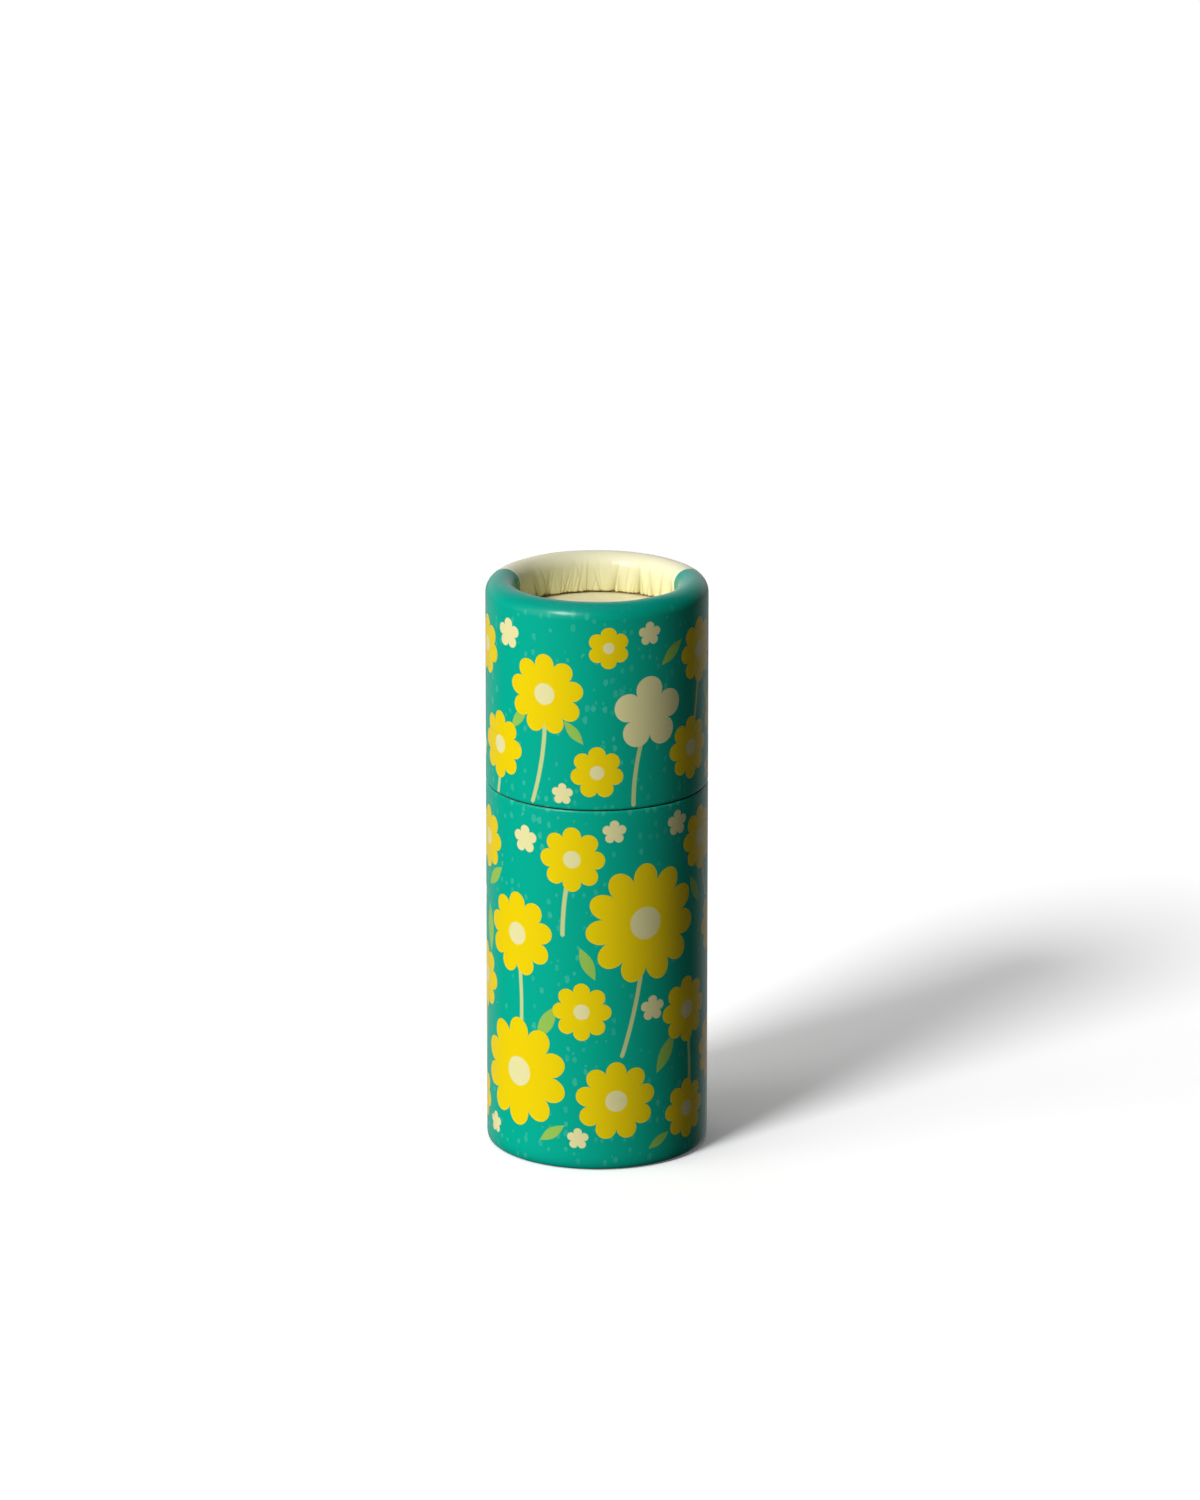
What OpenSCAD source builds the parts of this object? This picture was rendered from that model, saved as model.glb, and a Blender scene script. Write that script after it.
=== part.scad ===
// Push-up lip balm in a rolled paper tube, cap on. Millimetres.
// The axis is Z, the foot stands on Z = 0 and the front of the print looks along -Y.
// Heights in the names ending in _z are measured from the foot.

/* [Package] */
// Outer diameter of cap and base
tube_d = 25; // [22:0.5:32]
// Height of the closed package
total_h = 66; // [60:1:80]
// Height of the base, from the foot to the seam under the cap
base_h = 42.3; // [36:0.1:46]
// Open line between the cap's edge and the base's edge
seam_gap = 0.15; // [0.1:0.01:0.3]

/* [Board and paper] */
// Wall of the rolled board tubes
board_t = 1.35; // [1.1:0.05:1.6]
// Covering paper with its print
wrap_t = 0.2; // [0.16:0.01:0.3]
// Printed film within the covering paper
ink_t = 0.06; // [0.05:0.01:0.08]
// Radius of the hollow inside the rolled edges
roll_r = 0.2; // [0.15:0.01:0.4]
// Board of the rolled edge where it runs down inside, pressed thinner than the wall
leg_t = 1.1; // [0.9:0.05:1.2]
// Depth of the rolled edges, from the rim to where the board ends inside
rim_depth = 4.4; // [4.2:0.1:6]
// How far the cut edges at the seam are eased
edge_ease = 0.12; // [0.05:0.01:0.15]
// How far the foot's round edge is pressed flat
foot_press = 0.03; // [0.02:0.01:0.06]

/* [Gathers] */
// Number of gathers in the paper turned inside each rim
gather_n = 36; // [20:1:60]
// Half width of a gather at its open lower end
gather_w = 0.32; // [0.15:0.01:0.4]
// Depth of a gather at its open lower end
gather_d = 0.3; // [0.1:0.01:0.35]
// Depth of the shallowest gather, as a share of the deepest
gather_least_share = 0.45; // [0.3:0.05:0.8]
// Height at which the deepest gather fades out, as a share of the straight run inside the rim
gather_reach = 0.85; // [0.6:0.05:0.9]
// Largest sideways lean of a gather in degrees
gather_lean = 10; // [0:1:15]
// How far a gather strays from even spacing, as a share of that spacing
gather_stray = 0.5; // [0:0.05:0.6]
// Seed of the gathers' irregular places
gather_seed = 7; // [1:1:50]

/* [Neck] */
// Wall of the neck tube
neck_t = 1; // [0.7:0.05:1.2]
// Radial clearance between neck and cap, and glue line between neck and base
neck_fit = 0.08; // [0.04:0.01:0.1]
// Greaseproof lining of the neck
liner_t = 0.12; // [0.08:0.01:0.2]
// Space between the neck's mouth and the cap's disc
neck_air = 0.5; // [0.4:0.05:0.8]

/* [Discs] */
// Paper of the cap's disc and of the push disc
disc_t = 0.8; // [0.6:0.05:1]
// Turned-down skirt of both discs, with the disc's own thickness
cup_h = 3; // [2.4:0.1:3.4]
// Round corner between disc and skirt
cup_round = 0.4; // [0.2:0.05:0.5]
// Line between the rolled edge and the disc that closes it
disc_gap = 0.08; // [0.05:0.01:0.15]
// Radial clearance of the push disc in the lining
push_fit = 0.07; // [0.04:0.01:0.1]
// Greaseproof disc between the push disc and the stick
facing_t = 0.15; // [0.1:0.01:0.3]

/* [Balm] */
// How far the stick's edge lies below the neck's mouth
balm_below = 0.8; // [0.4:0.1:2]
// Dip that the poured balm sets to in the middle
balm_dip = 0.5; // [0.2:0.1:0.8]
// Flat margin of the stick round that dip
balm_margin = 0.9; // [0.5:0.1:1.5]

/* [Print] */
// Part of the turn that is printed, centred on the front
print_arc = 186; // [150:1:220]
// How deep the blossoms are scalloped, as a share of their radius
petal_share = 0.3; // [0.15:0.05:0.4]
// How deep the pale flowers are scalloped, as a share of their radius
pale_share = 0.45; // [0.3:0.05:0.5]
// Power that rounds the petals between their notches
petal_power = 0.55; // [0.4:0.05:0.8]
// Radius of a blossom's pale middle, as a share of the blossom's radius
middle_share = 0.27; // [0.2:0.01:0.35]
// Unit of the cap's shapes as a share of its wall's height, where that is less than the tube's radius
cap_unit_share = 0.63; // [0.4:0.001:0.7]
// Unit of the base's shapes as a share of its wall's height, where that is less than the tube's radius
base_unit_share = 0.325; // [0.2:0.001:0.4]
// Half width of a leaf, as a share of its length
leaf_share = 0.17; // [0.12:0.01:0.25]
// Width of a stem
stem_w = 0.5; // [0.35:0.05:0.7]
// Clear height between the print's end and the surface under the foot
print_foot = 0.12; // [0.1:0.01:0.3]

/* [Hidden] */
$fn = 96;

// Radii, from the outside inwards
outer_r = tube_d / 2;
board_out_r = outer_r - wrap_t;
board_in_r = board_out_r - board_t;
curl_r = roll_r + board_t + wrap_t;
roll_c_r = outer_r - curl_r;
rim_in_r = roll_c_r - curl_r;
leg_out_r = roll_c_r - roll_r;
leg_in_r = leg_out_r - leg_t;
neck_out_r = board_in_r - neck_fit;
neck_in_r = neck_out_r - neck_t;
liner_in_r = neck_in_r - liner_t;
push_r = liner_in_r - push_fit;

// Heights, from the foot upwards
foot_roll_z = curl_r - foot_press;
cup_z = rim_depth + disc_gap;
cup_top_z = cup_z + cup_h;
balm_z = cup_top_z + facing_t;
cap_z = base_h + seam_gap;
cap_disc_top_z = total_h - rim_depth - disc_gap;
neck_top_z = cap_disc_top_z - cup_h - neck_air;
balm_top_z = neck_top_z - balm_below;
cap_roll_z = total_h - curl_r;

// Colours
teal = [0.0, 0.63, 0.54];
yellow = [0.97, 0.82, 0.02];
cream = [0.93, 0.9, 0.68];
lime = [0.6, 0.79, 0.37];
board_brown = [0.78, 0.68, 0.53];
wax = [0.95, 0.88, 0.62];

// Printed walls: lowest and highest height, and the unit that the shapes on them are sized in
cap_wall = [cap_z, cap_roll_z, min(outer_r, cap_unit_share * (cap_roll_z - cap_z))];
base_wall = [foot_roll_z, base_h, min(outer_r, base_unit_share * (base_h - foot_roll_z))];

// Print of the cap: angle from the front in degrees, height as a share of the wall's height, radius in
// units of the wall, petals
cap_blossoms = [
    [-78, 0.76, 0.27, 7], [-60, 0.27, 0.31, 8], [-28, 0.6, 0.37, 9], [0, 0.2, 0.24, 7],
    [6, 0.86, 0.19, 6], [57, 0.26, 0.29, 8], [66, 0.76, 0.3, 8], [89, 0.38, 0.24, 7]
];
cap_pale_flowers = [
    [28, 0.5, 0.34, 5], [-52, 0.88, 0.14, 5], [-18, 0.08, 0.1, 5], [80, 0.1, 0.11, 5],
    [28, 0.92, 0.11, 5], [-87, 0.2, 0.11, 5]
];

// Print of the base, in the same form
base_blossoms = [
    [26, 0.67, 0.56, 11], [-45, 0.22, 0.51, 10], [-46, 0.62, 0.39, 9], [-13, 0.86, 0.3, 8],
    [10, 0.16, 0.37, 9], [-8, 0.42, 0.27, 8], [54, 0.39, 0.31, 8], [54, 0.1, 0.28, 8],
    [68, 0.87, 0.3, 8], [85, 0.24, 0.32, 9], [87, 0.6, 0.3, 8], [-76, 0.86, 0.29, 8],
    [-82, 0.45, 0.31, 8], [-88, 0.1, 0.25, 7]
];
base_pale_flowers = [
    [-40, 0.9, 0.13, 5], [46, 0.94, 0.12, 5], [9, 0.94, 0.11, 5], [-10, 0.05, 0.1, 5],
    [-66, 0.04, 0.1, 5], [-90, 0.68, 0.13, 5], [30, 0.42, 0.12, 5]
];

// Leaves: angle, height, length in units, turn from the horizontal in degrees
cap_leaves = [[-44, 0.45, 0.3, 50], [-12, 0.41, 0.28, 130], [42, 0.8, 0.32, 40], [75, 0.53, 0.28, 105]];
base_leaves = [
    [-73, 0.6, 0.46, 95], [-27, 0.38, 0.4, 60], [-5, 0.56, 0.34, 115], [38, 0.28, 0.4, 60],
    [86, 0.42, 0.38, 80], [-66, 0.76, 0.35, 40], [-24, 0.06, 0.3, 35], [34, 0.03, 0.26, 30],
    [61, 0.73, 0.32, 120]
];

// Stems: foot, then head in the middle of its flower, each as angle and height, and the sideways sag in units
cap_stems = [
    [-35, 0.02, -28, 0.6, 0.05], [19, 0.02, 28, 0.5, -0.04], [57, 0.26, 66, 0.76, 0.02],
    [-62, 0.01, -60, 0.27, 0.02]
];
base_stems = [
    [-45, 0.22, -46, 0.62, 0.05], [-18, 0.64, -13, 0.86, -0.02], [13, 0.29, 26, 0.67, 0.04],
    [56, 0.1, 54, 0.39, 0.02], [77, 0.69, 68, 0.87, -0.02], [-88, 0.1, -82, 0.45, 0.03]
];

// Irregular numbers from 0 to 1, one for each gather
place_noise = rands(0, 1, gather_n, gather_seed);
lean_noise = rands(0, 1, gather_n, gather_seed + 100);
size_noise = rands(0, 1, gather_n, gather_seed + 200);

// Outlines

// A point at arc length p.x along the wall and height p.y, seen square on from the front
function on_wall(p) = [outer_r * sin(p.x / outer_r * 180 / PI), p.y];

// Scalloped round: the radius falls in narrow notches between rounded petals
function scallops(r, petals, depth) = [
    for (i = [0 : petals * 6 - 1])
        let (t = i * 60 / petals, lobe = pow(abs(cos(petals * t / 2)), petal_power))
            r * (1 - depth + depth * lobe) * [sin(t), cos(t)]
];

function turn(p, a) = [p.x * cos(a) - p.y * sin(a), p.x * sin(a) + p.y * cos(a)];

// Lens-shaped leaf of length l, pointing along angle a from the horizontal
function leaf(l, a) = let (n = 10, w = leaf_share * l) concat(
    [for (i = [0 : n]) turn([l * (i / n - 0.5), w * sin(180 * i / n)], a)],
    [for (i = [n - 1 : -1 : 1]) turn([l * (i / n - 0.5), -w * sin(180 * i / n)], a)]
);

// Band of width w along a parabola from a to b with the given sag sideways
function band(a, b, sag, w) = let (n = 6) concat(
    [for (i = [0 : n]) let (s = i / n) a + s * (b - a) + [4 * sag * s * (1 - s) - w / 2, 0]],
    [for (i = [n : -1 : 0]) let (s = i / n) a + s * (b - a) + [4 * sag * s * (1 - s) + w / 2, 0]]
);

function flat_on_wall(points) = [for (p = points) on_wall(p)];

// Height on a printed wall at a share of it
function up(wall, share) = wall[0] + share * (wall[1] - wall[0]);

// Sections, in the half plane of radius and height

// Upper half of a ring: the rolled edge seen in section
module half_ring(ro, ri) {
    difference() {
        circle(ro);
        circle(ri);
        translate([-2 * ro, -2 * ro]) square([4 * ro, 2 * ro]);
    }
}

// Board of a tube from its cut edge at height z0 up to its rolled edge at height z1
module board_section(z0, z1) {
    translate([board_in_r, z0]) square([board_t, z1 - curl_r - z0]);
    translate([roll_c_r, z1 - curl_r]) half_ring(roll_r + board_t, roll_r);
    translate([leg_in_r, z1 - rim_depth]) square([leg_t, rim_depth - curl_r]);
}

// Covering paper over the same edge, eased at the cut edge and turned inside to the leg's end
module paper_section(z0, z1) {
    polygon([
        [board_out_r, z0], [outer_r - edge_ease, z0], [outer_r, z0 + edge_ease],
        [outer_r, z1 - curl_r], [board_out_r, z1 - curl_r]
    ]);
    translate([roll_c_r, z1 - curl_r]) half_ring(curl_r, curl_r - wrap_t);
    translate([rim_in_r, z1 - rim_depth]) square([leg_in_r - rim_in_r, rim_depth - curl_r]);
}

// Film over the wall and the roll, beginning just clear of the eased edge
module film_section(z0, z1) {
    foot_z = z0 + edge_ease + ink_t;
    translate([outer_r - ink_t, foot_z]) square([ink_t, z1 - curl_r - foot_z]);
    translate([roll_c_r, z1 - curl_r]) half_ring(curl_r, curl_r - ink_t);
}

// The base is the same form turned over, its round foot pressed flat
module turned_over() {
    translate([0, -foot_press]) mirror([0, 1]) children();
}

module above_foot(h) {
    intersection() {
        children();
        translate([0, h]) square([tube_d, total_h]);
    }
}

// Solids

// A sector of the given section, centred on the front
module printed_sector() {
    rotate([0, 0, 270 - print_arc / 2]) rotate_extrude(angle = print_arc) children();
}

module cap_film() {
    printed_sector() film_section(cap_z, total_h);
}

module base_film() {
    printed_sector() difference() {
        above_foot(print_foot) turned_over() film_section(-base_h - foot_press, 0);
        square([roll_c_r, total_h]);
    }
}

// Folds in the paper turned inside a rim whose edge is at height 0: notches that deepen downwards
module gathers() {
    run = rim_depth - curl_r;
    tilt = asin(gather_d / (gather_reach * run));
    for (i = [0 : gather_n - 1]) {
        depth = gather_d * (gather_least_share + (1 - gather_least_share) * size_noise[i]);
        rotate([0, 0, 360 / gather_n * (i + gather_stray * place_noise[i])])
            translate([0, -rim_in_r, -rim_depth])
                rotate([-tilt, gather_lean * (2 * lean_noise[i] - 1), 0])
                    translate([0, 0, -gather_d]) linear_extrude(run)
                        polygon([[-2 * gather_w, depth], [2 * gather_w, depth], [0, -depth]]);
    }
}

// Shapes standing square on the wall at an angle from the front and a height
module on_front(angle, height) {
    rotate([0, 0, angle]) translate([0, -outer_r / 2, height])
        rotate([90, 0, 0]) linear_extrude(outer_r) children();
}

module wall_shapes(wall, flowers, depth) {
    for (f = flowers)
        on_front(f[0], up(wall, f[1])) polygon(flat_on_wall(scallops(f[2] * wall[2], f[3], depth)));
}

module wall_middles(wall, flowers) {
    for (f = flowers)
        on_front(f[0], up(wall, f[1])) polygon(flat_on_wall(scallops(f[2] * wall[2] * middle_share, 4, 0)));
}

module wall_leaves(wall, leaves) {
    for (f = leaves)
        on_front(f[0], up(wall, f[1])) polygon(flat_on_wall(leaf(f[2] * wall[2], f[3])));
}

module wall_stems(wall, stems) {
    for (s = stems) {
        half_run = outer_r * (s[2] - s[0]) / 2 * PI / 180;
        foot = [-half_run, up(wall, s[1])];
        head = [half_run, up(wall, s[3])];
        on_front((s[0] + s[2]) / 2, 0) polygon(flat_on_wall(band(foot, head, s[4] * wall[2], stem_w)));
    }
}

// Printed fields of a wall: each lies in the film, cut where another lies over it
module print_blossoms(wall, blossoms) {
    difference() {
        intersection() {
            children();
            wall_shapes(wall, blossoms, petal_share);
        }
        wall_middles(wall, blossoms);
    }
}

module print_pale(wall, blossoms, pale, stems) {
    intersection() {
        children();
        union() {
            wall_middles(wall, blossoms);
            wall_shapes(wall, pale, pale_share);
            difference() {
                wall_stems(wall, stems);
                wall_shapes(wall, blossoms, petal_share);
            }
        }
    }
}

module print_leaves(wall, leaves, blossoms, pale, stems) {
    difference() {
        intersection() {
            children();
            wall_leaves(wall, leaves);
        }
        wall_shapes(wall, blossoms, petal_share);
        wall_shapes(wall, pale, pale_share);
        wall_stems(wall, stems);
    }
}

module print_ground(wall, leaves, blossoms, pale, stems) {
    difference() {
        children();
        wall_leaves(wall, leaves);
        wall_shapes(wall, blossoms, petal_share);
        wall_shapes(wall, pale, pale_share);
        wall_stems(wall, stems);
    }
}

// Disc with a turned-down skirt, its top at height z
module skirted_disc(r, z) {
    translate([0, 0, z - cup_h]) rotate_extrude() difference() {
        union() {
            square([r - cup_round, cup_h]);
            square([r, cup_h - cup_round]);
            translate([r - cup_round, cup_h - cup_round]) circle(cup_round);
        }
        translate([0, -disc_t]) square([r - disc_t, cup_h]);
    }
}

// Sub-parts of the cap

module cap_tube() {
    color(board_brown) rotate_extrude() board_section(cap_z, total_h);
}

module cap_wrap() {
    color(cream) difference() {
        rotate_extrude() paper_section(cap_z, total_h);
        cap_film();
        translate([0, 0, total_h]) gathers();
    }
}

module cap_disc() {
    color(cream) skirted_disc(board_in_r, cap_disc_top_z);
}

module cap_print_ground() {
    color(teal) print_ground(cap_wall, cap_leaves, cap_blossoms, cap_pale_flowers, cap_stems) cap_film();
}

module cap_print_blossoms() {
    color(yellow) print_blossoms(cap_wall, cap_blossoms) cap_film();
}

module cap_print_pale() {
    color(cream) print_pale(cap_wall, cap_blossoms, cap_pale_flowers, cap_stems) cap_film();
}

module cap_print_leaves() {
    color(lime) print_leaves(cap_wall, cap_leaves, cap_blossoms, cap_pale_flowers, cap_stems) cap_film();
}

// Sub-parts of the base

module base_tube() {
    color(board_brown) rotate_extrude() turned_over() board_section(-base_h - foot_press, 0);
}

module base_wrap() {
    color(cream) difference() {
        rotate_extrude() above_foot(0) turned_over() paper_section(-base_h - foot_press, 0);
        base_film();
        translate([0, 0, -foot_press]) mirror([0, 0, 1]) gathers();
    }
}

module neck_tube() {
    color(board_brown) translate([0, 0, rim_depth]) difference() {
        cylinder(h = neck_top_z - rim_depth, r = neck_out_r);
        translate([0, 0, -1]) cylinder(h = neck_top_z, r = neck_in_r);
    }
}

module neck_liner() {
    color([0.9, 0.88, 0.8]) translate([0, 0, rim_depth]) difference() {
        cylinder(h = neck_top_z - rim_depth, r = neck_in_r);
        translate([0, 0, -1]) cylinder(h = neck_top_z, r = liner_in_r);
    }
}

module base_print_ground() {
    color(teal) print_ground(base_wall, base_leaves, base_blossoms, base_pale_flowers, base_stems)
        base_film();
}

module base_print_blossoms() {
    color(yellow) print_blossoms(base_wall, base_blossoms) base_film();
}

module base_print_pale() {
    color(cream) print_pale(base_wall, base_blossoms, base_pale_flowers, base_stems) base_film();
}

module base_print_leaves() {
    color(lime) print_leaves(base_wall, base_leaves, base_blossoms, base_pale_flowers, base_stems)
        base_film();
}

// Sub-parts that are pushed up

module push_disc() {
    color(board_brown) skirted_disc(push_r, cup_top_z);
}

module facing_disc() {
    color([0.9, 0.88, 0.8]) translate([0, 0, cup_top_z]) cylinder(h = facing_t, r = push_r - cup_round);
}

module balm() {
    dip_r = push_r - balm_margin;
    ball_r = (dip_r * dip_r + balm_dip * balm_dip) / (2 * balm_dip);
    color(wax) difference() {
        translate([0, 0, balm_z]) cylinder(h = balm_top_z - balm_z, r = push_r);
        translate([0, 0, balm_top_z - balm_dip + ball_r]) sphere(ball_r, $fn = 200);
    }
}

cap_tube();
cap_wrap();
cap_disc();
cap_print_ground();
cap_print_blossoms();
cap_print_pale();
cap_print_leaves();
base_tube();
base_wrap();
neck_tube();
neck_liner();
base_print_ground();
base_print_blossoms();
base_print_pale();
base_print_leaves();
push_disc();
facing_disc();
balm();
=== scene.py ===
"""Push-up lip balm in a rolled paper tube: paper, board, discs and stick, each as a turned surface.

All sizes are in millimetres until a mesh is laid. The axis is Z and the front of the print looks along -Y.
Angles round the tube run from the back (-pi) over the left side, the front (0) and the right side to the
back again (pi).
"""

import math

import bpy
import numpy as np
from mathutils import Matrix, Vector


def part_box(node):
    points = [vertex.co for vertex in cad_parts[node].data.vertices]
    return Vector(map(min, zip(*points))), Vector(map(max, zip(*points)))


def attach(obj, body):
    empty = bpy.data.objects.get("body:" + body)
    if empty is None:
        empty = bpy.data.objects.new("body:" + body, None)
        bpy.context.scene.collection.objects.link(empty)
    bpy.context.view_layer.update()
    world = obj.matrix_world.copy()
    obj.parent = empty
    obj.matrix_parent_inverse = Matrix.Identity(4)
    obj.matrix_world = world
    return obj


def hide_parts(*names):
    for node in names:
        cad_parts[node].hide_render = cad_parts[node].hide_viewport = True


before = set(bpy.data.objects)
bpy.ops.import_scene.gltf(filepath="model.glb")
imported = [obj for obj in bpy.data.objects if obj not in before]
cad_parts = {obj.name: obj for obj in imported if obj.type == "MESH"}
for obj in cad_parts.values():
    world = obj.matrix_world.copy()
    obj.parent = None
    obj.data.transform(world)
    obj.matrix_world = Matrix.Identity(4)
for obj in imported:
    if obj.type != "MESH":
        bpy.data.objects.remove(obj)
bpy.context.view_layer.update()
MM = 0.001


def reach(solid):
    """Outer radius, lowest and highest height of a solid of the frame."""
    low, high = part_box(solid)
    return round(high.x / MM, 3), round(low.z / MM, 3), round(high.z / MM, 3)


# Sizes read from the frame
TUBE_R, CAP_EDGE, TOP = reach("cap_wrap")
BASE_EDGE = reach("base_wrap")[2]
BOARD_R = reach("cap_tube")[0]
BORE_R, DISC_LOW, DISC_TOP = reach("cap_disc")
NECK_R, RIM_DEPTH, NECK_TOP = reach("neck_tube")
LINER_R = reach("neck_liner")[0]
PUSH_R, PUSH_LOW, PUSH_TOP = reach("push_disc")
FACING_R, FACING_LOW, FACING_TOP = reach("facing_disc")
BALM_R, BALM_LOW, BALM_TOP = reach("balm")

# Thickness of the sheets
WRAP = TUBE_R - BOARD_R
BOARD = BOARD_R - BORE_R
DISC_PAPER = 0.8
LINER = 0.12

# Rolled edge: hollow inside the roll, radius of the roll, distance of its middle and of its inner side from
# the axis, and the straight leg below its inner side
HOLLOW = 0.2
CURL = HOLLOW + BOARD + WRAP
ROLL_R = TUBE_R - CURL
RIM_R = ROLL_R - CURL
LEG_RUN = RIM_DEPTH - CURL
# Share of the roll's half turn where the gathers may start, and how much thicker they make the leg by its end
LEG_START = 0.62
LEG_BULK = 0.25
# Power of the roll's outer corner: 2 is round, and the foot is pressed tighter; the foot is also pressed flat
ROUND = 2.0
FOOT_CORNER = 5.0
FOOT_PRESS = 0.03
# Cut edge of the paper: length and depth of its easing
CUT_EASE = 0.3
CUT_DEPTH = 0.14

# Gathers, two sets: how many, least and greatest depth, least and greatest width of the easy side
FOLD_SETS = ((56, 0.06, 0.36, 0.2, 0.7), (150, 0.02, 0.14, 0.07, 0.2))
FOLD_JITTER = 1.2
FOLD_LEAN = 1.8
FOLD_START = (-0.2, 0.4)
FOLD_STEEP = (0.05, 0.11)
FOLD_GROWTH = 0.3
# The cut end of the leg is drawn up: evenly, by its folds, and in slow waves
DRAWN_UP = 0.1
DRAWN_BY_FOLD = 0.9
DRAWN_IN_WAVES = 0.06
# The lap at the back: where it starts, in degrees, its step, and the length over which it eases off
LAP_START = 157
LAP_STEP = 0.1
LAP_EASE = 3.0

# Place on the flat sheet of what is never seen, clear of every print
OFF_SHEET = 500.0
# Half width of the printed field round the tube
PRINT_HALF = math.radians(107) * TUBE_R

# Blossoms of the cap: angle from the front in degrees, height as a share of the wall's height, radius in
# units of the tube's radius, petals
CAP_BLOSSOMS = [
    (-78, 0.76, 0.27, 7), (-60, 0.27, 0.31, 8), (-28, 0.6, 0.37, 9), (0, 0.2, 0.24, 7),
    (6, 0.86, 0.19, 6), (57, 0.26, 0.29, 8), (66, 0.76, 0.3, 8), (89, 0.38, 0.24, 7),
]
CAP_PALE = [
    (28, 0.5, 0.34, 5), (-52, 0.88, 0.14, 5), (-18, 0.08, 0.1, 5), (80, 0.1, 0.11, 5),
    (28, 0.92, 0.11, 5), (-87, 0.2, 0.11, 5),
]
# Blossoms of the base, in the same form
BASE_BLOSSOMS = [
    (26, 0.67, 0.56, 11), (-45, 0.22, 0.51, 10), (-46, 0.62, 0.39, 9), (-13, 0.86, 0.3, 8),
    (10, 0.16, 0.37, 9), (-8, 0.42, 0.27, 8), (54, 0.39, 0.31, 8), (54, 0.1, 0.28, 8),
    (68, 0.87, 0.3, 8), (85, 0.24, 0.32, 9), (87, 0.6, 0.3, 8), (-76, 0.86, 0.29, 8),
    (-82, 0.45, 0.31, 8), (-88, 0.1, 0.25, 7),
]
BASE_PALE = [
    (-40, 0.9, 0.13, 5), (46, 0.94, 0.12, 5), (9, 0.94, 0.11, 5), (-10, 0.05, 0.1, 5),
    (-66, 0.04, 0.1, 5), (-90, 0.68, 0.13, 5), (30, 0.42, 0.12, 5),
]
# Leaves: angle, height, length in units of the tube's radius, turn from the horizontal in degrees
CAP_LEAVES = [(-44, 0.45, 0.3, 50), (-12, 0.41, 0.28, 130), (42, 0.8, 0.32, 40), (75, 0.53, 0.28, 105)]
BASE_LEAVES = [
    (-73, 0.6, 0.46, 95), (-27, 0.38, 0.4, 60), (-5, 0.56, 0.34, 115), (38, 0.28, 0.4, 60),
    (86, 0.42, 0.38, 80), (-66, 0.76, 0.35, 40), (-24, 0.06, 0.3, 35), (34, 0.03, 0.26, 30),
    (61, 0.73, 0.32, 120),
]
# Stems: foot, then head in the middle of its flower, each as angle and height, and the sideways sag in units
CAP_STEMS = [
    (-35, 0.02, -28, 0.6, 0.05), (19, 0.02, 28, 0.5, -0.04), (57, 0.26, 66, 0.76, 0.02),
    (-62, 0.01, -60, 0.27, 0.02),
]
BASE_STEMS = [
    (-45, 0.22, -46, 0.62, 0.05), (-18, 0.64, -13, 0.86, -0.02), (13, 0.29, 26, 0.67, 0.04),
    (56, 0.1, 54, 0.39, 0.02), (77, 0.69, 68, 0.87, -0.02), (-88, 0.1, -82, 0.45, 0.03),
]
# Share of a blossom's radius that its notches cut in, share that its heart takes, and width of a stem
BLOSSOM_DEPTH = 0.3
PALE_DEPTH = 0.45
HEART_SHARE = 0.27
STEM_W = 0.5


# Shapes


def around(columns):
    """Angle of each column: equal steps from -pi, the back, up to but not including pi."""
    return np.linspace(-math.pi, math.pi, columns, endpoint=False)


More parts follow.
